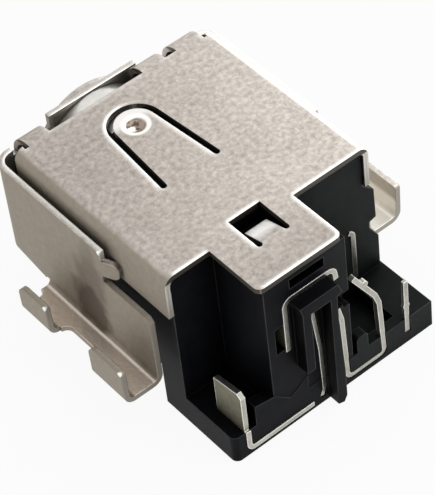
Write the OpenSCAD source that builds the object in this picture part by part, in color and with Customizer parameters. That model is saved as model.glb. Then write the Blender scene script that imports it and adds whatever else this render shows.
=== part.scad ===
// DC barrel jack for a board cut-out: a folded one-piece shield shell round a
// moulded housing, with a barrel sleeve, a centre pin and six flat contacts.
// The plug goes in along +Y. Z is up from the underside of the housing's base.
// Inside the modules Y is measured from the rim of the mouth, and X from the
// middle plane of the shell. seat() then moves the origin to the middle of the
// underside.

/* [Shield sheet] */
// Thickness of the shield sheet
sheet_t = 0.25; // [0.2:0.01:0.32]
// Width over the side strips
shell_w = 10.2; // [8.6:0.1:12.4]
// Height from the base's underside to the top of the top plate
jack_h = 8.65; // [8.2:0.05:10.5]
// Length of the top plate's wide part, from the front plate
shell_l = 10.6; // [10:0.1:13]
// Outer radius of the side bends
side_bend_r = 0.5; // [0.4:0.05:0.7]
// Outer radius of the fold between top plate and front plate
fold_r = 1.1; // [0.8:0.05:1.2]
// Height of the side strips below the top plate's top
strip_h = 2.15; // [1.6:0.05:2.6]

/* [Mouth and barrel] */
// Diameter of the plug's barrel
plug_d = 4.5; // [3.8:0.1:4.6]
// Clearance between plug and sleeve, on the radius
plug_gap = 0.1; // [0.05:0.01:0.2]
// Wall of the barrel sleeve
sleeve_t = 0.25; // [0.2:0.01:0.35]
// Length of the barrel sleeve
sleeve_l = 8.5; // [8.2:0.1:9.2]
// Sideways offset of the plug's axis from the middle of the shell
axis_x = 0.65; // [0:0.05:0.8]
// Length of the collar drawn forward round the mouth
collar_l = 0.35; // [0.2:0.05:0.6]
// Width of sheet left below the collar
chin_w = 0.6; // [0.4:0.05:0.8]
// Diameter of the centre pin
pin_d = 1.0; // [0.6:0.05:1.4]
// Diameter of the pin's head in the housing's end wall
pin_head_d = 1.5; // [1.45:0.05:2]
// Length of the pin's head
pin_head_l = 1.1; // [0.6:0.1:1.2]
// Distance of the pin's tip behind the mouth rim
pin_tip_y = 1.2; // [0.8:0.1:3]

/* [Spring finger] */
// Radius of the slot round the finger's tip, at the slot's middle
finger_r = 1.05; // [0.8:0.05:1.2]
// Width of the finger's slot
slot_w = 0.28; // [0.2:0.01:0.35]
// Distance of the tip's centre behind the front plate
finger_y = 3.3; // [2.8:0.1:4]
// Length of the finger from its tip's centre to the slot's ends
finger_l = 3.42; // [3:0.02:3.8]
// Half the distance between the slot's ends
finger_spread = 1.335; // [1.1:0.005:1.6]
// Radius of the pressed dimple
dimple_r = 0.5; // [0.3:0.05:0.6]
// Depth of the pressed dimple
dimple_h = 0.16; // [0.08:0.01:0.2]

/* [Tongue and latch] */
// Width of the rear tongue
tongue_w = 4.16; // [3.4:0.02:5]
// Length of the rear tongue
tongue_l = 2.86; // [2.4:0.02:3.4]
// Radius of the tongue's corners
tongue_r = 0.3; // [0.1:0.05:0.5]
// Width of the latch window
latch_w = 1.58; // [1.2:0.02:2]
// Width of the lanced latch tab
latch_tab_w = 1.08; // [0.8:0.02:1.2]
// Length of the latch tab
latch_tab_l = 1.1; // [0.9:0.05:1.3]
// Downward lean of the latch tab
latch_angle = 16; // [8:1:20]

/* [Wings and legs] */
// Gap between a wing and the side strip inside it
wing_gap = 0.23; // [0.1:0.01:0.4]
// Height of the wing's top below the top plate's top
wing_drop = 0.85; // [0.7:0.05:1.2]
// Length of the wing's tall part, from the front plate
wing_tall_l = 7.05; // [6:0.05:7.5]
// Distance of the wing's rear edge ahead of the top plate's rear edge
wing_rear_gap = 0.7; // [0.5:0.05:1.2]
// Height of the flanges' underside above the base's underside
flange_z = 2.45; // [2.2:0.05:2.8]
// Outer radius of the vertical bends between front plate and wings
corner_r = 0.8; // [0.6:0.05:1]
// Outer radius of the small bends at flange and leg
small_bend_r = 0.5; // [0.45:0.05:0.6]
// Flat width of a flange between its two bends
flange_w = 0.89; // [0.6:0.01:1.1]
// Height of the rear legs above the flange's underside
leg_h = 1.9; // [1.4:0.05:2.4]
// How much lower the front legs are
front_leg_drop = 0.22; // [0:0.02:0.4]
// Outward lean of the legs
leg_lean = 1; // [0:1:12]
// Length of the front leg
front_leg_l = 1.83; // [1.5:0.01:2.4]
// Length of the rear leg
rear_leg_l = 2.1; // [1.8:0.01:2.6]

/* [Housing] */
// Clearance between shell and housing
fit_gap = 0.04; // [0.02:0.01:0.08]
// Height of the base
base_h = 1.41; // [1.2:0.01:1.7]
// Length of the base
base_l = 4.35; // [4:0.05:5]
// Distance from the top plate's rear edge to the rear face of the terminal block
block_l = 2.8; // [2.4:0.05:3.4]
// Distance of the front body's underside below the plug's axis
body_drop = 3.35; // [3.1:0.05:3.7]
// Reach of the base past the shell on the blade side
base_reach = 0.5; // [0.3:0.05:0.7]

/* [Contacts] */
// Thickness of the contact strips
strip_t = 0.23; // [0.16:0.01:0.26]
// Clearance round a contact in its groove
groove_gap = 0.03; // [0.02:0.01:0.05]
// Depth of the contacts inside the terminal block
strip_depth = 2.2; // [1.6:0.1:2.4]

/* [Hidden] */
$fn = 48;
cut = 0.5;                 // how far a cutter runs past what it cuts

// Shell
side_x = shell_w / 2;
plate_z = jack_h - sheet_t;
front_y = collar_l;
fold_y = front_y + fold_r;
fold_z = jack_h - fold_r;
shell_rear = front_y + shell_l;
strip_z = jack_h - strip_h;
relief_y = fold_y + 0.2;   // rear ends of the relief notches beside the fold
tongue_x = axis_x + 0.16;  // middle of the tongue
tongue_rear = shell_rear + tongue_l;

// Wings, flanges and legs
wing_x = side_x + wing_gap;            // inner face
wing_out = wing_x + sheet_t;           // outer face
wing_y0 = front_y + corner_r;
wing_step = front_y + wing_tall_l;
wing_rear = shell_rear - wing_rear_gap;
wing_top = jack_h - wing_drop;
bend_in = small_bend_r - sheet_t;
flange_x = wing_out + bend_in;
leg_x = flange_x + flange_w;
bend_z = flange_z + small_bend_r;
flange_y = front_y + 2.85;
front_leg_y = flange_y + 0.3;
rear_leg_y = wing_rear - rear_leg_l;
neck_y = [front_leg_y + front_leg_l + 0.1, rear_leg_y - 0.3];
neck_x = leg_x - 0.32;
wing_corner = 0.3;         // radius of the wing's upper rear corner
wing_low_top = strip_z - 0.34; // top of the wing behind its step
plate_low = bend_z + 0.25;     // lower edge of the front plate

// Barrel
sleeve_ir = plug_d / 2 + plug_gap;
sleeve_or = sleeve_ir + sleeve_t;
crown_gap = 0.07;
axis_z = plate_z - crown_gap - sleeve_or;
sleeve_y = front_y + sheet_t + 0.05;
sleeve_rear = sleeve_y + sleeve_l;
pin_free_l = sleeve_rear - pin_tip_y;
collar_ir = sleeve_ir + 0.08;
collar_or = collar_ir + 0.15;
tip_y = front_y + finger_y;
finger_bay = finger_r - slot_w / 2 - 0.06; // half width kept free below the finger

// Housing
body_x = side_x - sheet_t - fit_gap;
body_top = plate_z - 0.02;
body_y = front_y + sheet_t + 0.05;
body_rear = shell_rear - 0.13;
body_z = axis_z - body_drop;
block_rear = shell_rear + block_l;
base_rear = block_rear + 0.03;
base_y = base_rear - base_l;
base_right = -(side_x + base_reach);
base_corner = 0.3;
block_x = [-1.4, 2.67];
foot_rear = base_rear + 0.57;

// Contacts
strip_rear = block_rear;
strip_y = block_rear - strip_depth;
edge_depth = 0.25;         // depth of the U-shaped and groove contacts
point_depth = 0.15;        // depth of the right-hand contact
thin_t = 0.2;              // thickness of the thin contact
left_blade_x = body_x - 0.71;
right_blade_x = base_right + 1.3;

part_l = foot_rear;

// ---- helpers ----

// Moves the origin to the middle of the underside
module seat() translate([0, -part_l / 2, 0]) children();

// Extrudes an (x, z) outline from y0 to y1
module along_y(y0, y1) translate([0, y1, 0]) rotate([90, 0, 0]) linear_extrude(y1 - y0) children();

// Extrudes a (y, z) outline from x0 to x1
module along_x(x0, x1) translate([x0, 0, 0]) rotate([90, 0, 90]) linear_extrude(x1 - x0) children();

// Rectangle from corner to corner
module span(p, q) translate([min(p[0], q[0]), min(p[1], q[1])]) square([abs(q[0] - p[0]), abs(q[1] - p[1])]);

// Rectangle with the same radius on each corner
module round_rect(p, q, r) {
    span([p[0] + r, p[1]], [q[0] - r, q[1]]);
    span([p[0], p[1] + r], [q[0], q[1] - r]);
    for (x = [p[0] + r, q[0] - r])
        for (y = [p[1] + r, q[1] - r])
            translate([x, y]) circle(r);
}

// Part of a ring of outer radius r and thickness t, from angle a0 to a1, up to half a turn
module arc_band(r, t, a0, a1) {
    far = 2 * r;
    intersection() {
        difference() {
            circle(r);
            circle(r - t);
        }
        rotate(a0) span([-far, 0], [far, far]);
        rotate(a1) span([-far, -far], [far, 0]);
    }
}

// Points of an arc about c
function arc(c, r, a0, a1, n = 6) = [for (i = [0:n]) c + r * [cos(a0 + (a1 - a0) * i / n), sin(a0 + (a1 - a0) * i / n)]];

// Left-hand normal of a segment
function side(a, b) = let (d = (b - a) / norm(b - a)) [-d[1], d[0]];

// Mitre at point i of a path
function mitre(p, i) =
    let (n0 = i > 0 ? side(p[i - 1], p[i]) : side(p[0], p[1]))
    let (n1 = i < len(p) - 1 ? side(p[i], p[i + 1]) : n0)
    let (m = (n0 + n1) / norm(n0 + n1))
    m / (m * n0);

// Outline of a strip of thickness w bent along a path
module bent_strip(p, w) {
    last = len(p) - 1;
    near = [for (i = [0:last]) p[i] + mitre(p, i) * w / 2];
    far = [for (i = [last:-1:0]) p[i] - mitre(p, i) * w / 2];
    polygon(concat(near, far));
}

// ---- shield shell ----

// Section of top plate, side bends and side strips
module shell_section() {
    inner_r = side_bend_r - sheet_t;
    span([-side_x + side_bend_r, plate_z], [side_x - side_bend_r, jack_h]);
    for (s = [-1, 1])
        mirror([s < 0 ? 1 : 0, 0]) {
            translate([side_x - side_bend_r, jack_h - side_bend_r]) arc_band(side_bend_r, sheet_t, 0, 90);
            span([side_x - sheet_t, strip_z], [side_x, jack_h - side_bend_r]);
        }
}

// Slot that frees the spring finger
module finger_slot() {
    d = norm([finger_spread, finger_l]);
    lean = acos(finger_r / d) - atan2(finger_l, finger_spread);
    arm = sqrt(d * d - finger_r * finger_r);
    translate([axis_x, tip_y]) {
        arc_band(finger_r + slot_w / 2, slot_w, 180 + lean, 360 - lean);
        for (s = [0, 1])
            mirror([s, 0])
                rotate(-lean)
                    translate([finger_r, 0]) {
                        translate([-slot_w / 2, 0]) square([slot_w, arm]);
                        translate([0, arm]) circle(slot_w / 2);
                    }
    }
}

latch_y0 = shell_rear - 0.65;
latch_free_y = shell_rear - 0.05;
latch_root_y = latch_free_y + latch_tab_l;
latch_x = axis_x - 0.01;

// Window and round-ended side slits round the latch tab, with the tab's own place
module latch_cut() {
    slit_r = (latch_w - latch_tab_w) / 4;
    span([latch_x - latch_w / 2, latch_y0], [latch_x + latch_w / 2, latch_root_y]);
    for (s = [-1, 1])
        translate([latch_x + s * (latch_w / 2 - slit_r), latch_root_y]) circle(slit_r);
}

module latch_tab() {
    translate([latch_x - latch_tab_w / 2, latch_root_y, jack_h])
        rotate([latch_angle, 0, 0])
            translate([0, -latch_tab_l, -sheet_t]) cube([latch_tab_w, latch_tab_l, sheet_t]);
}

// Openings along the fold: [x0, x1, rear end]
fold_cuts = [
    [side_x - 0.65, side_x - 0.45, relief_y],
    [-1.4, 3.35, fold_y + 0.05],
    [-3.2, -2.6, fold_y - 0.05],
    [-side_x + 0.45, -side_x + 0.6, relief_y]];
bridges = [[3.35, side_x - 0.65], [-2.6, -1.4], [-side_x + 0.6, -3.2]];

module top_plate() {
    difference() {
        union() {
            along_y(fold_y, shell_rear) shell_section();
            translate([0, 0, plate_z]) linear_extrude(sheet_t) {
                span([tongue_x - tongue_w / 2, shell_rear - cut], [tongue_x + tongue_w / 2, tongue_rear - tongue_r]);
                span([tongue_x - tongue_w / 2 + tongue_r, shell_rear - cut],
                     [tongue_x + tongue_w / 2 - tongue_r, tongue_rear]);
                for (s = [-1, 1])
                    translate([tongue_x + s * (tongue_w / 2 - tongue_r), tongue_rear - tongue_r]) circle(tongue_r);
            }
        }
        translate([0, 0, plate_z - cut]) linear_extrude(sheet_t + 2 * cut) {
            finger_slot();
            latch_cut();
            for (c = fold_cuts)
                span([c[0], front_y], [c[1], c[2]]);
        }
        translate([axis_x, tip_y, plate_z - cut]) cylinder(r = dimple_r, h = sheet_t + 2 * cut);
    }
    latch_tab();
    dimple();
}

// Dish pressed into the finger's tip
module dimple() {
    ball_r = (dimple_r * dimple_r + dimple_h * dimple_h) / (2 * dimple_h);
    translate([axis_x, tip_y, jack_h - dimple_h + ball_r])
        rotate_extrude()
            intersection() {
                difference() {
                    circle(ball_r + sheet_t);
                    circle(ball_r);
                }
                span([0, -2 * ball_r], [dimple_r, 0]);
            }
}

// Front plate with the mouth, and the folds that join it to the top plate
module front_plate() {
    tab_z = jack_h - 0.27;
    difference() {
        along_y(front_y, front_y + sheet_t) {
            span([-(wing_out - corner_r), plate_low], [wing_out - corner_r, fold_z]);
            span([-1.7, fold_z], [2.75, tab_z]);
            for (s = [-1, 1])
                span([s * (side_x - 0.45), fold_z], [s * (wing_out - corner_r), wing_top]);
            intersection() {
                translate([axis_x, axis_z]) circle(collar_or + chin_w);
                span([-side_x, 0], [side_x, plate_low + cut]);
            }
        }
        mouth_hole();
    }
    for (b = bridges)
        along_x(b[0], b[1])
            translate([fold_y, fold_z]) arc_band(fold_r, sheet_t, 90, 180);
    translate([axis_x, 0, axis_z])
        rotate([-90, 0, 0])
            rotate_extrude()
                span([collar_ir, 0], [collar_or, collar_l + sheet_t]);
}

module mouth_hole() {
    translate([axis_x, -cut, axis_z]) rotate([-90, 0, 0]) cylinder(r = collar_ir, h = collar_l + sheet_t + 2 * cut);
}

// One wing with its corner bend, flange and two legs, on the +X side
module wing() {
    front_low = bend_z - 0.1;
    front_end = flange_y - 0.25;
    translate([wing_out - corner_r, wing_y0, plate_low])
        linear_extrude(wing_top - plate_low) arc_band(corner_r, sheet_t, 270, 360);
    along_x(wing_x, wing_out) {
        span([front_end, bend_z], [wing_step, wing_top]);
        polygon([[wing_y0, wing_top], [wing_y0, plate_low], [front_end, front_low], [front_end, wing_top]]);
        span([wing_step - cut, bend_z], [wing_rear - wing_corner, wing_low_top]);
        span([wing_step - cut, bend_z], [wing_rear, wing_low_top - wing_corner]);
        translate([wing_rear - wing_corner, wing_low_top - wing_corner]) circle(wing_corner);
    }
    step_tab();
    along_y(flange_y, wing_rear)
        translate([flange_x, bend_z]) arc_band(small_bend_r, sheet_t, 180, 270);
    translate([0, 0, flange_z]) linear_extrude(sheet_t)
        difference() {
            span([flange_x, flange_y], [leg_x, wing_rear]);
            round_rect([neck_x, neck_y[0]], [leg_x + 2 * cut, neck_y[1]], 0.35);
            translate([leg_x - 0.35, flange_y]) circle(0.3);
        }
    intersection() {
        along_y(front_leg_y, wing_rear) leg_section();
        along_x(leg_x, leg_x + 2 * leg_h) {
            leg_outline(front_leg_y, front_leg_y + front_leg_l, flange_z + leg_h - front_leg_drop, 0.5);
            leg_outline(rear_leg_y, wing_rear, flange_z + leg_h, 0.45);
        }
    }
}

// Section of a leg and of the bend at its foot
module leg_section() {
    translate([leg_x, bend_z]) {
        arc_band(small_bend_r, sheet_t, 270, 360 - leg_lean);
        rotate(-leg_lean) span([bend_in, 0], [small_bend_r, leg_h]);
    }
}

// Outline of a leg in (y, z), with its front top corner of radius front_r
module leg_outline(y0, y1, top, front_r) {
    rear_r = 0.15;
    span([y0, 0], [y1, top - front_r]);
    span([y0 + front_r, 0], [y1, top - rear_r]);
    span([y0 + front_r, 0], [y1 - rear_r, top]);
    translate([y0 + front_r, top - front_r]) circle(front_r);
    translate([y1 - rear_r, top - rear_r]) circle(rear_r);
}

// Small tab at the wing's step, turned in to touch the side strip
module step_tab() {
    tab_l = 0.8;
    tab_h = 0.82;
    tab_turn = 24;
    end_r = 0.3;
    translate([wing_out, wing_step, strip_z - 0.02])
        rotate([0, 0, tab_turn])
            along_x(-sheet_t, 0) {
                span([0, 0], [tab_l - end_r, tab_h]);
                span([0, end_r], [tab_l, tab_h - end_r]);
                for (z = [end_r, tab_h - end_r])
                    translate([tab_l - end_r, z]) circle(end_r);
            }
}

module shield_shell() {
    color([0.72, 0.69, 0.64]) seat() {
        difference() {
            top_plate();
            mouth_hole();
        }
        front_plate();
        wing();
        mirror([1, 0, 0]) wing();
    }
}

// ---- barrel ----

module barrel_sleeve() {
    color([0.62, 0.6, 0.55]) seat()
        difference() {
            translate([axis_x, sleeve_y, axis_z]) rotate([-90, 0, 0]) cylinder(r = sleeve_or, h = sleeve_l);
            translate([axis_x, sleeve_y - cut, axis_z]) rotate([-90, 0, 0]) cylinder(r = sleeve_ir, h = sleeve_l + 2 * cut);
            finger_window();
        }
}

// Opening in the sleeve under the spring finger
module finger_window() {
    window_y = tip_y - dimple_r - 0.15;
    translate([axis_x - finger_bay, window_y, axis_z + sleeve_ir - 1])
        cube([2 * finger_bay, finger_l + dimple_r + 0.5, 3]);
}

module centre_pin() {
    color([0.8, 0.68, 0.4]) seat()
        translate([axis_x, pin_tip_y, axis_z])
            rotate([-90, 0, 0]) {
                translate([0, 0, pin_d / 2]) cylinder(d = pin_d, h = pin_free_l - pin_d / 2);
                translate([0, 0, pin_free_l]) cylinder(d = pin_head_d, h = pin_head_l);
                intersection() {
                    translate([0, 0, pin_d / 2]) sphere(d = pin_d);
                    cylinder(d = 2 * pin_d, h = pin_d / 2);
                }
            }
}

// ---- contacts ----

hook_z = jack_h - 1.58;
hook_path = concat(
    [[1.72, 4.28]],
    arc([1.37, hook_z - 0.35], 0.35, 0, 90),
    arc([-0.48, hook_z - 0.32], 0.32, 90, 172),
    [[-0.84, 6.43]]);
thin_path = [[0.43, 5.46], [0.19, 3.14], [0.14, 0.76], [0.31, 0.35]];
u_path = concat(
    [[-0.81, 4.65], [-0.97, 3.93]],
    arc([-1.33, 0.6], 0.25, 0, -90),
    arc([-2.78, 0.6], 0.25, 270, 180),
    [[-2.9, 3.42]],
    [[-2.72, 3.99], [-1.68, 5.73]]);
u_bump = [-2.22, 5.02];
bump_r = 0.16;
edge_y = strip_rear - edge_depth;

// Strip contact made by extruding its bent outline from y0 to the block's rear face
module strip_contact(path, y0, w) {
    color([0.74, 0.73, 0.68]) seat()
        along_y(y0, strip_rear) bent_strip(path, w);
}

module hook_contact() strip_contact(hook_path, strip_y, strip_t);
module thin_contact() strip_contact(thin_path, strip_y, thin_t);
module u_contact() {
    strip_contact(u_path, edge_y, strip_t);
    color([0.74, 0.73, 0.68]) seat()
        along_y(edge_y, strip_rear) translate(u_bump) circle(bump_r);
}

// Upright blade on the left. Its lower end turns in to a foot strip along the base.
blade_l = 1.7;
foot_x = 0.78;
foot_z = 0.22;
turn_r = 0.3;
blade_side = [[-blade_l, 3.3], [-0.28, 3.52], [-0.05, 3.34], [-0.05, base_h - 0.1], [-blade_l, base_h - 0.1]];
foot_path = concat(
    [[foot_x, foot_z + strip_t / 2]],
    arc([left_blade_x - turn_r, foot_z + strip_t / 2 + turn_r], turn_r, 270, 360),
    [[left_blade_x, base_h]]);
module blade_contact_left() {
    color([0.74, 0.73, 0.68]) seat() {
        along_x(left_blade_x - strip_t / 2, left_blade_x + strip_t / 2)
            translate([block_rear, 0]) polygon(blade_side);
        along_y(block_rear - blade_l, base_rear + 0.04) bent_strip(foot_path, strip_t);
    }
}

// Narrow upright contact on the right, with a round contact point
right_low = 0.6;
right_top = 3.55;
right_point = [right_blade_x, 2.13];
module blade_contact_right() {
    color([0.74, 0.73, 0.68]) seat()
        along_y(strip_rear - point_depth, strip_rear) {
            span([right_blade_x - strip_t / 2, right_low], [right_blade_x + strip_t / 2, right_top]);
            translate(right_point) circle(bump_r);
        }
}

// Contact in a groove of the rear wall, curled over at its top
groove_path = concat([[-4.13, 1.65]], arc([-3.83, 4.1], 0.3, 180, 110));
module groove_contact() {
    color([0.6, 0.59, 0.55]) seat()
        along_y(body_rear - edge_depth, body_rear + 0.06) bent_strip(groove_path, strip_t);
}

// ---- housing ----

module housing() {
    color([0.09, 0.09, 0.1]) seat()
        difference() {
            housing_solid();
            housing_cuts();
        }
}

module housing_solid() {
    top_r = side_bend_r - sheet_t;
    // Body inside the shell
    along_y(body_y, body_rear) {
        span([-body_x, body_z], [body_x, body_top - top_r]);
        span([-body_x + top_r, body_z], [body_x - top_r, body_top]);
        for (s = [-1, 1])
            translate([s * (body_x - top_r), body_top - top_r]) circle(top_r);
    }
    // Rear wall down to the base
    along_y(base_y, body_rear) span([-body_x, 0], [body_x, body_top - 2]);
    // Base with one rounded corner
    linear_extrude(base_h) {
        span([base_right, base_y], [body_x - base_corner, base_rear]);
        span([0, base_y], [body_x, base_rear - base_corner]);
        translate([body_x - base_corner, base_rear - base_corner]) circle(base_corner);
    }
    // Terminal block under the tongue
    along_y(body_rear - cut, block_rear) span([block_x[0], 0], [block_x[1], body_top]);
    // Raised layer at the foot of the block, and wall beside the left blade
    along_y(block_rear - cut, base_rear)
        polygon([[3.65, 0], [3.65, 2.5], [2.6, 2.3], [2.15, 1.85], [1.87, 1.62], [1.44, 1.84], [0.95, 2.2], [0.95, 0]]);
    // Side of the rear wall past the strip on the right
    along_y(wing_rear + 0.1, body_rear)
        polygon([[-body_x + cut, 6.45], [-body_x, 6.45], [-5.38, 5.9], [-5.42, 4.3], [-5.06, 4.2], [-5.05, 3.88],
                 [-5.2, 3.6], [-5.5, 3.15], [-5.5, base_h - cut], [-body_x + cut, base_h - cut]]);
    // Stop inside the U-shaped contact
    along_y(block_rear - 1, base_rear) round_rect([-2.2, base_h - cut], [-1.62, 2.25], 0.15);
    // Projecting ribs: crossbar, short rib and the long rib that ends in the foot
    along_y(block_rear - cut, foot_rear) {
        polygon([[1.47, 6.91], [-0.43, 6.91], [-0.62, 6.4], [-0.36, 6.3], [1.3, 6.3]]);
        span([0.95, 3.1], [1.36, 6.5]);
        polygon([[-0.03, 6.5], [-0.03, 0.1], [-0.33, 0], [-0.49, 0.3], [-0.5, 1.8], [-0.36, 5], [-0.36, 6.5]]);
    }
}

module housing_cuts() {
    // Barrel bore and pin hole
    translate([axis_x, body_y - cut, axis_z])
        rotate([-90, 0, 0]) cylinder(r = sleeve_or + 0.02, h = sleeve_rear - body_y + cut + 0.02);
    translate([axis_x, sleeve_rear - cut, axis_z])
        rotate([-90, 0, 0]) cylinder(d = pin_head_d, h = pin_head_l + cut);
    // Room above the barrel
    translate([axis_x - finger_bay, body_y - cut, axis_z + sleeve_or * 0.7])
        cube([2 * finger_bay, sleeve_rear - body_y + cut + 0.02, 3]);
    // Step behind the fold
    translate([-body_x - cut, body_y - cut, fold_z - 0.35]) cube([2 * (body_x + cut), fold_y + 0.1 - body_y + cut, 3]);
    // Pocket for the latch tab
    translate([latch_x - latch_w / 2, latch_y0, plate_z - 0.7]) cube([latch_w, latch_root_y - latch_y0, 2]);
    // Front corners clear of the shell's corner bends
    for (s = [-1, 1])
        translate([s * body_x, body_y, 0]) rotate(45) cube([0.5, 0.5, 40], center = true);
    // Deep floor of the bay behind the U-shaped contact
    translate([right_blade_x + 0.35, body_rear, base_h - 0.8])
        cube([block_x[0] - right_blade_x - 0.45, edge_y - 0.2 - body_rear, 2]);
    block_pockets();
    contact_grooves();
}

// Recesses in the rear face of the terminal block
module block_pockets() {
    pocket_y = block_rear - 0.8;
    along_y(pocket_y, block_rear + cut) {
        span([-0.3, 7.6], [1.4, 8.08]);
        span([1.8, 4.5], [2.3, 5.9]);
    }
    // Notch in the right-hand edge above the U-shaped contact's short leg
    along_y(block_rear - 0.45, block_rear + cut) {
        span([-0.78, 4.74], [block_x[0] - cut, 5.4]);
        span([-1.08, 4.56], [block_x[0] - cut, 5.4]);
    }
}

module contact_grooves() {
    w = strip_t + 2 * groove_gap;
    groove_rear = base_rear + 0.1;
    along_y(strip_y, groove_rear) {
        bent_strip(hook_path, w);
        bent_strip(thin_path, thin_t + 2 * groove_gap);
    }
    along_y(edge_y, groove_rear) {
        bent_strip(u_path, w);
        translate(u_bump) circle(bump_r + groove_gap);
    }
    along_y(strip_rear - point_depth, groove_rear) {
        span([right_blade_x - w / 2, right_low - groove_gap], [right_blade_x + w / 2, right_top + groove_gap]);
        translate(right_point) circle(bump_r + groove_gap);
    }
    along_y(body_rear - edge_depth, body_rear + cut) bent_strip(groove_path, w);
    along_y(block_rear - blade_l - groove_gap, groove_rear) {
        bent_strip(foot_path, w);
        span([left_blade_x - w / 2, base_h - 0.1], [left_blade_x + w / 2, base_h + 1]);
    }
}

shield_shell();
housing();
barrel_sleeve();
centre_pin();
hook_contact();
blade_contact_left();
blade_contact_right();
u_contact();
thin_contact();
groove_contact();
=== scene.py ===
import math

import bpy
from mathutils import Matrix, Vector


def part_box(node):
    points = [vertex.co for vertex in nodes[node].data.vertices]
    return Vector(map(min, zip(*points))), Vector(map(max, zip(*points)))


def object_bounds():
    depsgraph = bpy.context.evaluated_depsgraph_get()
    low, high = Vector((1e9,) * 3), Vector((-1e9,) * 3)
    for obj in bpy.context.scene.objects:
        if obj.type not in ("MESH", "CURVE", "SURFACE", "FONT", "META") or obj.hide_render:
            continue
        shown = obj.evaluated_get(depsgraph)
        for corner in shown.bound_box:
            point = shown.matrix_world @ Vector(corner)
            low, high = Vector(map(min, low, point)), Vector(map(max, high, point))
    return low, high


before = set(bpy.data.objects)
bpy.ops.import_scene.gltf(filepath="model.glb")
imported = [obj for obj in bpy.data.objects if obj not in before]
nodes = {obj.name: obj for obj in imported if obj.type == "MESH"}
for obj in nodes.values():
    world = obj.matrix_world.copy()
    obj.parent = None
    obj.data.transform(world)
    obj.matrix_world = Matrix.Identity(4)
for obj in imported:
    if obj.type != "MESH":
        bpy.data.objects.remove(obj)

cad_low, cad_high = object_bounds()
MM = 0.001
shell_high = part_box("shield_shell")[1]

# Places on the object, in millimetres. +X is the left of the jack seen from behind, +Y its rear.
TOP = shell_high.z / MM               # upper face of the top plate
LEG_SIDE = shell_high.x / MM          # outer face of the legs
MOUTH = cad_low.y / MM                # rim of the mouth
DIMPLE = (0.65, MOUTH + 3.65)         # middle of the dimple, on the plug's axis
TAB = (0.64, 4.2, TOP - 0.2)          # middle of the latch tab
WING_SIDE = 5.3                       # the left wing lies beyond this, its side strip within it
RIGHT_FLANGE = -5.4                   # the right flange and its legs lie beyond this
RIGHT_BEND = 4.5                      # the right bend lies beyond this distance from the middle
UPPER_BAND = 6.4                      # top plate, bends and side strips lie above this height
LEG_TIPS = 3.4                        # the tips of the legs lie above this height
BROWN_REFLECTIONS = (                            # middle, half size and strength of the painted dark brown reflection on the left wing
    ((5.6, -0.95, 3.8), (1.0, 1.35, 1.7), 0.8),
    ((5.6, -0.7, 5.4), (1.0, 1.1, 2.3), 0.4),
)
# Painted highlights: bright spots at the rear corners of the left legs and at the wing's step
GLINT_SPOTS = ((LEG_SIDE, -1.9, 4.1), (LEG_SIDE, 3.0, 4.33), (5.6, 0.2, 7.76))
GLINT_SPOT_SIZE = (0.16, 0.13, 0.13)


# ---- node helpers ----

class Graph:
    """The node tree of a material or world, with short calls that add and join nodes."""

    def __init__(self, owner, output="ShaderNodeOutputMaterial"):
        owner.use_nodes = True
        self.owner = owner
        self.tree = owner.node_tree
        self.tree.nodes.clear()
        self.output = self.tree.nodes.new(output)

    def node(self, kind, inputs=None, **settings):
        made = self.tree.nodes.new(kind)
        for key, value in settings.items():
            setattr(made, key, value)
        for key, value in (inputs or {}).items():
            self.feed(made.inputs[key], value)
        return made

    def feed(self, socket, value):
        if isinstance(value, bpy.types.NodeSocket):
            self.tree.links.new(value, socket)
        elif isinstance(value, bpy.types.Node):
            self.tree.links.new(value.outputs[0], socket)
        else:
            socket.default_value = value

    def finish(self, shader):
        self.feed(self.output.inputs["Surface"], shader)
        return self.owner

    def math(self, operation, a, b=0.0, clamp=False):
        made = self.node("ShaderNodeMath", {0: a, 1: b}, operation=operation)
        made.use_clamp = clamp
        return made.outputs[0]

    def product(self, first, *others):
        for other in others:
            first = self.math("MULTIPLY", first, other)
        return first

    def inverse(self, value):
        return self.math("SUBTRACT", 1.0, value)

    def above(self, value, limit, gain):
        """0 up to the limit, then rising to 1 at this rate."""
        return self.math("MULTIPLY", self.math("SUBTRACT", value, limit), gain, clamp=True)

    def below(self, value, limit, gain):
        """0 down to the limit, then rising to 1 at this rate."""
        return self.math("MULTIPLY", self.math("SUBTRACT", limit, value), gain, clamp=True)

    def vector(self, operation, a, b=(0.0, 0.0, 0.0), output="Vector"):
        return self.node("ShaderNodeVectorMath", {0: a, 1: b}, operation=operation).outputs[output]

    def ramp(self, value, stops):
        made = self.node("ShaderNodeValToRGB", {"Fac": value})
        for element, (place, colour) in zip(made.color_ramp.elements, stops):
            element.position = place
            element.color = colour
        return made.outputs["Color"]

    def noise(self, vector, scale, detail=2.0, rough=0.5, distortion=0.0):
        made = self.node("ShaderNodeTexNoise", {"Vector": vector, "Scale": scale, "Detail": detail,
                                                "Roughness": rough, "Distortion": distortion})
        return made.outputs["Fac"]

    def mix(self, factor, a, b, blend="MIX"):
        made = self.node("ShaderNodeMix", data_type="RGBA", blend_type=blend)
        self.feed(made.inputs["Factor"], factor)
        self.feed(made.inputs[6], a)
        self.feed(made.inputs[7], b)
        return made.outputs[2]

    def tint(self, colour, by):
        return self.mix(1.0, colour, by, "MULTIPLY")

    def parts(self, vector):
        return self.node("ShaderNodeSeparateXYZ", {0: vector}).outputs

    def position(self):
        """Place on the object in millimetres."""
        spot = self.node("ShaderNodeTexCoord").outputs["Object"]
        return self.node("ShaderNodeVectorMath", {0: spot, 3: 1 / MM}, operation="SCALE").outputs[0]

    def facing(self):
        """X, Y and Z of the surface's direction on the object."""
        return self.parts(self.node("ShaderNodeTexCoord").outputs["Normal"])


def material_graph(name):
    return Graph(bpy.data.materials.new(name))


def rgb(r, g, b):
    """Linear colour of an 8-bit screen colour."""
    def linear(value):
        v = value / 255
        return v / 12.92 if v <= 0.04045 else ((v + 0.055) / 1.055) ** 2.4
    return (linear(r), linear(g), linear(b), 1.0)


# ---- materials ----

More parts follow.
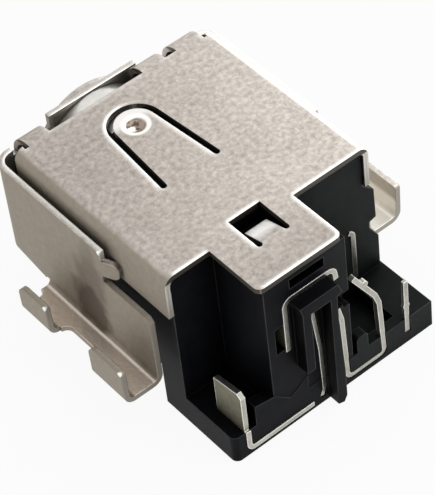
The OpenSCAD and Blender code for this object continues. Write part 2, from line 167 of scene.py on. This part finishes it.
def edge_mask(graph, radius_mm, gain=9.0):
    """1 along sharp edges, 0 on open faces; also the rounded direction that it is worked out from."""
    rounded = graph.node("ShaderNodeBevel", {"Radius": radius_mm * MM}, samples=8).outputs[0]
    flat = graph.node("ShaderNodeNewGeometry").outputs["Normal"]
    same = graph.vector("DOT_PRODUCT", rounded, flat, "Value")
    return graph.math("MULTIPLY", graph.inverse(same), gain, clamp=True), rounded


def crevice(graph, reach_mm, power=1.6):
    """0 in narrow gaps, 1 in the open."""
    open_sky = graph.node("ShaderNodeAmbientOcclusion", {"Distance": reach_mm * MM}, samples=8).outputs["AO"]
    return graph.math("POWER", open_sky, power)


def blob(graph, place, centre, half, ragged):
    """1 near the centre of an ellipsoid, falling to 0 with a ragged edge; sizes in millimetres."""
    scaled = graph.vector("DIVIDE", graph.vector("SUBTRACT", place, centre), half)
    reach = graph.vector("LENGTH", scaled, output="Value")
    rough_edge = graph.product(graph.math("SUBTRACT", graph.noise(place, 1.1, 3.0), 0.5), ragged)
    return graph.below(reach, graph.math("ADD", 1.0, rough_edge), 2.5)


def rough_normal(graph, height, bevel_mm, strength, depth_mm):
    """Softened edges with a fine relief on top."""
    bevel = graph.node("ShaderNodeBevel", {"Radius": bevel_mm * MM}, samples=8)
    return graph.node("ShaderNodeBump", {"Strength": strength, "Distance": depth_mm * MM, "Height": height,
                                         "Normal": bevel})


def pitted_metal(graph, tones, blotch_share):
    """Colour and height of plated metal with a fine orange peel and faint blotches."""
    place = graph.position()
    blotch = graph.noise(place, 0.45)
    pebble = graph.noise(place, 4.4, distortion=0.3)
    grain = graph.noise(place, 12.0, rough=0.6)
    fine = graph.math("ADD", graph.product(pebble, 0.7), graph.product(grain, 0.3))
    tone = graph.math("ADD", graph.product(blotch, blotch_share), graph.product(fine, 1.0 - blotch_share))
    colour = graph.ramp(tone, [(0.33, tones[0]), (0.67, tones[1])])
    return place, colour, fine, grain


def metal_shader(graph, colour, fine, grain, roughness, bevel_mm, peel=0.3, shade_and_dull=0.0):
    rough = graph.math("ADD", roughness, graph.product(shade_and_dull, 0.25))
    rough = graph.math("ADD", rough, graph.product(grain, 0.12))
    normal = rough_normal(graph, fine, bevel_mm, peel, 0.04)
    return graph.finish(graph.node("ShaderNodeBsdfPrincipled", {"Base Color": colour, "Metallic": 1.0,
                                                                "Roughness": rough, "Normal": normal}))


def metal(name, tones, painted_rim_highlight, roughness, bevel_mm=0.04, gaps=0.3):
    """Plain plated metal of the strips, the sleeve and the pin, with painted shade on left-facing faces and
    in gaps, and painted highlights along edges.
    """
    graph = material_graph(name)
    colour, fine, grain = pitted_metal(graph, tones, 0.5)[1:]
    # Painted shade: faces that look left are painted darker, and are rougher too
    shade_and_dull = graph.above(graph.facing()["X"], 0.3, 3.0)
    colour = graph.mix(shade_and_dull, colour, graph.tint(colour, (0.5, 0.49, 0.41, 1.0)))
    # Painted highlight along sharp edges
    colour = graph.mix(edge_mask(graph, bevel_mm * 1.6)[0], colour, painted_rim_highlight)
    # Painted shade in narrow gaps
    shade = graph.math("ADD", 1.0 - gaps, graph.product(crevice(graph, 0.4), gaps))
    return metal_shader(graph, graph.tint(colour, shade), fine, grain, roughness, bevel_mm, shade_and_dull=shade_and_dull)


def dimple_tones(graph, colour, place, at):
    """Painted highlights on the dimple: a bright ring round a darker brownish dish with a bright spot, and a
    painted highlight on the finger's tip.
    """
    off_y = graph.math("SUBTRACT", at["Y"], DIMPLE[1])
    flat = graph.node("ShaderNodeCombineXYZ", {0: graph.math("SUBTRACT", at["X"], DIMPLE[0]), 1: off_y})
    reach = graph.vector("LENGTH", flat, output="Value")
    from_rim = graph.math("ABSOLUTE", graph.math("SUBTRACT", reach, 0.52))
    ring = graph.below(from_rim, 0.15, 10.0)
    tip = graph.product(graph.below(reach, 0.95, 20.0), graph.below(off_y, 0.0, 2.5))
    dish = graph.below(reach, 0.47, 14.0)
    aside = graph.vector("DISTANCE", flat, (0.27, 0.04, 0.0), "Value")
    spot_size = graph.math("ADD", 0.07, graph.product(graph.noise(place, 6.0), 0.3))
    # Painted shade: the dish is painted a darker brown, with a painted highlight spot beside its middle
    dish_shade = graph.ramp(graph.noise(place, 5.0), [(0.42, rgb(96, 84, 76)), (0.56, rgb(164, 148, 134))])
    painted_glint = graph.mix(graph.below(aside, spot_size, 20.0), dish_shade, rgb(255, 252, 246))
    top_only = graph.above(at["Z"], TOP - 0.5, 9.0)
    for share, tone in ((tip, rgb(240, 238, 234)), (dish, painted_glint), (ring, rgb(255, 253, 248))):
        colour = graph.mix(graph.product(share, top_only), colour, tone)
    return colour


def shield_sheet():
    """Plated sheet of the shell, with painted light and shade on the bends, wings and flanges, and painted
    highlights on the punched rims.

    The painted tones follow place and direction on the object, so they stay the same under any light.
    """
    graph = material_graph("shield_sheet_look")
    place, colour, fine, grain = pitted_metal(graph, (rgb(154, 146, 138), rgb(200, 192, 184)), 0.16)
    at = graph.parts(place)
    facing = graph.facing()
    upward = graph.math("ABSOLUTE", facing["Z"])
    left = graph.above(at["X"], -3.0, 1 / 6)
    high = graph.above(at["Z"], UPPER_BAND, 0.8)

    # Painted light: the sheet is painted lighter towards the rear right, but not on the tongue
    run = graph.math("SUBTRACT", graph.product(at["Y"], 0.35), graph.product(at["X"], 0.9))
    light = graph.product(graph.above(run, -4.1, 1 / 8), graph.below(at["Y"], 6.5, 0.3),
                          graph.math("MAXIMUM", high, graph.inverse(left)))
    colour = graph.mix(light, colour, graph.tint(colour, (1.4, 1.41, 1.42, 1.0)))

    # Bends and upright faces are smoother; painted shade darkens upright faces and leg tops on the left,
    # which are also rougher
    upright = graph.below(upward, 0.93, 6.0)
    smooth = graph.math("MAXIMUM", upright, graph.product(graph.inverse(high), left))
    colour = graph.mix(graph.product(smooth, 0.7), colour, rgb(182, 174, 164))
    leg_top = graph.product(graph.above(at["Z"], LEG_TIPS, 4.0), graph.inverse(high))
    shade_and_dull = graph.product(graph.math("MAXIMUM", upright, leg_top), left)
    colour = graph.mix(shade_and_dull, colour, graph.tint(colour, (0.73, 0.715, 0.66, 1.0)))

    # Painted light: the left flange's upper face is painted lighter than the wing above it
    flange_top = graph.inverse(graph.math("MAXIMUM", upright, high))
    flange_top = graph.product(flange_top, left, graph.inverse(leg_top))
    colour = graph.mix(graph.product(flange_top, 0.85), colour, rgb(220, 207, 194))

    # Painted dark brown reflection low on the left wing, fading upwards
    low_reflection, high_reflection = [graph.product(blob(graph, place, centre, half, 0.9), strength)
                             for centre, half, strength in BROWN_REFLECTIONS]
    brown_reflection = graph.product(graph.math("MAXIMUM", low_reflection, high_reflection),
                            graph.above(at["X"], WING_SIDE, 10.0), upright)
    colour = graph.mix(brown_reflection, colour, rgb(84, 74, 64))

    # Painted shade: sheared rear faces are painted darker, and the walls of the holes in the top plate
    # painted nearly black
    rearward = graph.above(facing["Y"], 0.8, 8.0)
    colour = graph.mix(graph.product(rearward, 0.85), colour, rgb(146, 140, 130))
    across = graph.above(graph.math("ABSOLUTE", facing["X"]), 0.5, 6.0)
    inboard = graph.below(graph.math("ABSOLUTE", at["X"]), LEG_SIDE - 2.75, 20.0)
    wall = graph.math("MAXIMUM", rearward, graph.product(across, inboard))
    wall = graph.product(wall, graph.above(at["Z"], TOP - 0.35, 12.0), 0.75)
    colour = graph.mix(wall, colour, rgb(20, 19, 18))

    # Painted light: the right flange and the inner faces of its legs are painted near-white cream
    right = graph.below(at["X"], RIGHT_FLANGE, 4.0)
    inner = graph.product(graph.below(graph.math("ABSOLUTE", facing["Y"]), 1 / 1.5, 1.5),
                          graph.above(facing["X"], -0.5, 2.0))
    strength = graph.math("ADD", 0.1, graph.product(graph.below(at["Z"], 3.75, 4.0), 0.9))
    colour = graph.mix(graph.product(right, inner, strength), colour, rgb(255, 254, 247))

    # Painted highlight: the bend on the right is painted bright, and the side strip below it is not
    beyond = graph.math("SUBTRACT", graph.product(at["X"], -1.0), graph.product(fine, 0.4))
    bend = graph.product(graph.above(beyond, RIGHT_BEND, 8.0), graph.inverse(right), graph.inverse(rearward),
                         high, graph.above(facing["Z"], 0.2, 4.0))
    colour = graph.mix(graph.product(bend, 0.9), colour, rgb(255, 255, 252))

    # Painted highlight: the latch tab is painted bright where it leans down
    tab = blob(graph, place, TAB, (0.75, 0.85, 0.5), 0.0)
    tab = graph.product(graph.below(at["Z"], TOP - 0.05, 8.0), tab, upward)
    colour = graph.mix(tab, colour, rgb(255, 254, 250))

    # Painted shade in the gaps, darkest on the left
    depth = graph.math("ADD", 0.45, graph.product(left, 0.5))
    gap = graph.product(graph.inverse(crevice(graph, 0.22, 1.2)), depth)
    colour = graph.tint(colour, graph.inverse(gap))

    # Painted highlights on the rims round what was punched out of the top plate, none where the edge tilts
    # left and fainter where it tilts forward
    mask, rounded = edge_mask(graph, 0.34, 38.0)
    tilt = graph.parts(rounded)
    not_left = graph.inverse(graph.math("MULTIPLY", tilt["X"], 5.0, clamp=True))
    not_forward = graph.inverse(graph.product(graph.math("MULTIPLY", tilt["Y"], -5.0, clamp=True), 0.75))
    painted_rim_highlight = graph.product(mask, not_left, not_forward, graph.math("POWER", upward, 2.0))
    cut_rim = graph.product(mask, rearward, graph.math("SUBTRACT", 0.5, wall, clamp=True))
    painted_rim_highlight = graph.product(graph.math("ADD", painted_rim_highlight, cut_rim), graph.math("ADD", 0.12, graph.product(high, 0.88)))
    colour = graph.mix(painted_rim_highlight, colour, rgb(255, 254, 250))

    # Painted highlights: bright spots at the rear corners of the left legs and at the wing's step
    glint_spots = 0.0
    for centre in GLINT_SPOTS:
        glint_spots = graph.math("MAXIMUM", glint_spots, blob(graph, place, centre, GLINT_SPOT_SIZE, 0.2))
    colour = graph.mix(glint_spots, colour, rgb(255, 255, 250))

    colour = dimple_tones(graph, colour, place, at)
    return metal_shader(graph, colour, fine, grain, 0.34, 0.06, 0.4, shade_and_dull)


def moulded_plastic():
    """Black moulding with a fine matt grain, painted highlights on its edges and painted shade in its
    crevices, painted darker on the left.
    """
    graph = material_graph("black_moulding_look")
    place = graph.position()
    cloud = graph.noise(place, 1.6, 3.0)
    # Painted shade: the left of the moulding is painted darker than the right
    left_tone = graph.ramp(cloud, [(0.3, rgb(11, 12, 16)), (0.7, rgb(19, 20, 24))])
    right_tone = graph.ramp(cloud, [(0.3, rgb(32, 34, 34)), (0.7, rgb(38, 40, 40))])
    # Painted shade in crevices
    shade = crevice(graph, 1.2)
    colour = graph.mix(graph.below(graph.parts(place)["X"], 0.5, 0.5), left_tone, right_tone)
    colour = graph.tint(colour, shade)
    # Painted highlights along the edges, faded where the painted crevice shade is dark
    painted_glint = graph.product(edge_mask(graph, 0.07)[0], graph.noise(place, 1.3), graph.math("POWER", shade, 2.0))
    colour = graph.mix(painted_glint, colour, rgb(120, 118, 118))
    normal = rough_normal(graph, graph.noise(place, 24.0, 3.0, 0.6), 0.06, 0.4, 0.03)
    shader = graph.node("ShaderNodeBsdfPrincipled", {"Base Color": colour, "Roughness": 0.45,
                                                     "Specular IOR Level": 0.05, "Normal": normal})
    return graph.finish(shader)


def dress(node, material):
    mesh = nodes[node].data
    mesh.materials.clear()
    mesh.materials.append(material)


shield = shield_sheet()
tinned = metal("tinned_strip_look", (rgb(150, 148, 138), rgb(196, 194, 184)), rgb(250, 249, 242), 0.28,
               bevel_mm=0.045)
sleeve = metal("sleeve_metal_look", (rgb(206, 204, 198), rgb(236, 234, 230)), rgb(246, 246, 242), 0.3,
               gaps=0.15)
pin = metal("pin_metal_look", (rgb(190, 160, 96), rgb(216, 190, 122)), rgb(240, 220, 160), 0.22)
plastic = moulded_plastic()

dress("shield_shell", shield)
dress("housing", plastic)
dress("barrel_sleeve", sleeve)
dress("centre_pin", pin)
for strip in ("hook_contact", "blade_contact_left", "blade_contact_right", "u_contact", "thin_contact",
              "groove_contact"):
    dress(strip, tinned)


# ---- stage ----

WHITE = (1.0, 1.0, 1.0, 1.0)
FLOOR_HALF = 0.6         # half the floor's side, in metres
FLOOR_DROP = 0.00002     # keeps the floor clear of the housing's underside
FLOOR_WHITE_SHARE = 0.92
AMBIENT = 0.55


def seen_directly(graph):
    """1 for camera, glossy and transmission rays, 0 for the rays that light the object."""
    path = graph.node("ShaderNodeLightPath").outputs
    return graph.math("MAXIMUM", path["Is Camera Ray"],
                      graph.math("MAXIMUM", path["Is Glossy Ray"], path["Is Transmission Ray"]))


def build_floor():
    """Pale floor that reads as white and keeps a soft shadow."""
    half = FLOOR_HALF
    mesh = bpy.data.meshes.new("floor")
    corners = [(-half, -half, 0), (half, -half, 0), (half, half, 0), (-half, half, 0)]
    mesh.from_pydata(corners, [], [(0, 1, 2, 3)])
    floor = bpy.data.objects.new("floor", mesh)
    floor.location.z = -FLOOR_DROP
    bpy.context.scene.collection.objects.link(floor)
    graph = material_graph("floor_look")
    diffuse = graph.node("ShaderNodeBsdfDiffuse", {"Color": (0.95, 0.95, 0.95, 1.0)})
    glow = graph.node("ShaderNodeEmission", {"Color": WHITE, "Strength": 1.0})
    share = graph.product(seen_directly(graph), FLOOR_WHITE_SHARE)
    mesh.materials.append(graph.finish(graph.node("ShaderNodeMixShader", {0: share, 1: diffuse, 2: glow})))


def build_world():
    """Even light from all round, seen as white."""
    graph = Graph(bpy.data.worlds.new("studio"), "ShaderNodeOutputWorld")
    ambient = graph.node("ShaderNodeBackground", {"Color": WHITE, "Strength": AMBIENT})
    white = graph.node("ShaderNodeBackground", {"Color": WHITE, "Strength": 1.0})
    mixed = graph.node("ShaderNodeMixShader", {0: seen_directly(graph), 1: ambient, 2: white})
    bpy.context.scene.world = graph.finish(mixed)


def area_light(name, place_mm, size_mm, power):
    """Soft lamp aimed at the middle of the object."""
    light = bpy.data.lights.new(name, "AREA")
    light.shape = "RECTANGLE"
    light.size, light.size_y = [side * MM for side in size_mm]
    light.energy = power
    lamp = bpy.data.objects.new(name, light)
    bpy.context.scene.collection.objects.link(lamp)
    lamp.location = Vector(place_mm) * MM
    aim = Vector((0, 0, 4)) * MM - lamp.location
    lamp.rotation_euler = aim.to_track_quat("-Z", "Y").to_euler()


def build_camera():
    """Camera above, behind and to the +X side, rolled a little."""
    azimuth, elevation, roll = math.radians(146.01), math.radians(46.51), math.radians(7.5)
    distance = 98.9165 * MM
    back = Vector((math.sin(azimuth) * math.cos(elevation), -math.cos(azimuth) * math.cos(elevation),
                   math.sin(elevation)))
    flat_right = Vector((0, 0, 1)).cross(back).normalized()
    flat_up = back.cross(flat_right)
    right = math.cos(roll) * flat_right - math.sin(roll) * flat_up
    up = math.sin(roll) * flat_right + math.cos(roll) * flat_up
    target = Vector((0, cad_low.y + 6.7 * MM, 4.7 * MM))
    place = target + back * distance
    data = bpy.data.cameras.new("camera")
    data.sensor_width = 36
    data.lens = 179.2727
    data.shift_x, data.shift_y = 0.022828, -0.046667
    data.clip_start, data.clip_end = 0.001, 10
    camera = bpy.data.objects.new("camera", data)
    bpy.context.scene.collection.objects.link(camera)
    camera.matrix_world = Matrix(((right.x, up.x, back.x, place.x),
                                  (right.y, up.y, back.y, place.y),
                                  (right.z, up.z, back.z, place.z),
                                  (0, 0, 0, 1)))
    bpy.context.scene.camera = camera


build_floor()
build_world()
area_light("key_top", (-40, 30, 115), (100, 90), 0.03)
area_light("side_right", (-115, -60, 25), (60, 90), 0.03)
area_light("fill_left", (110, 60, 70), (80, 80), 0.008)
build_camera()
bpy.context.scene.view_settings.view_transform = "Standard"
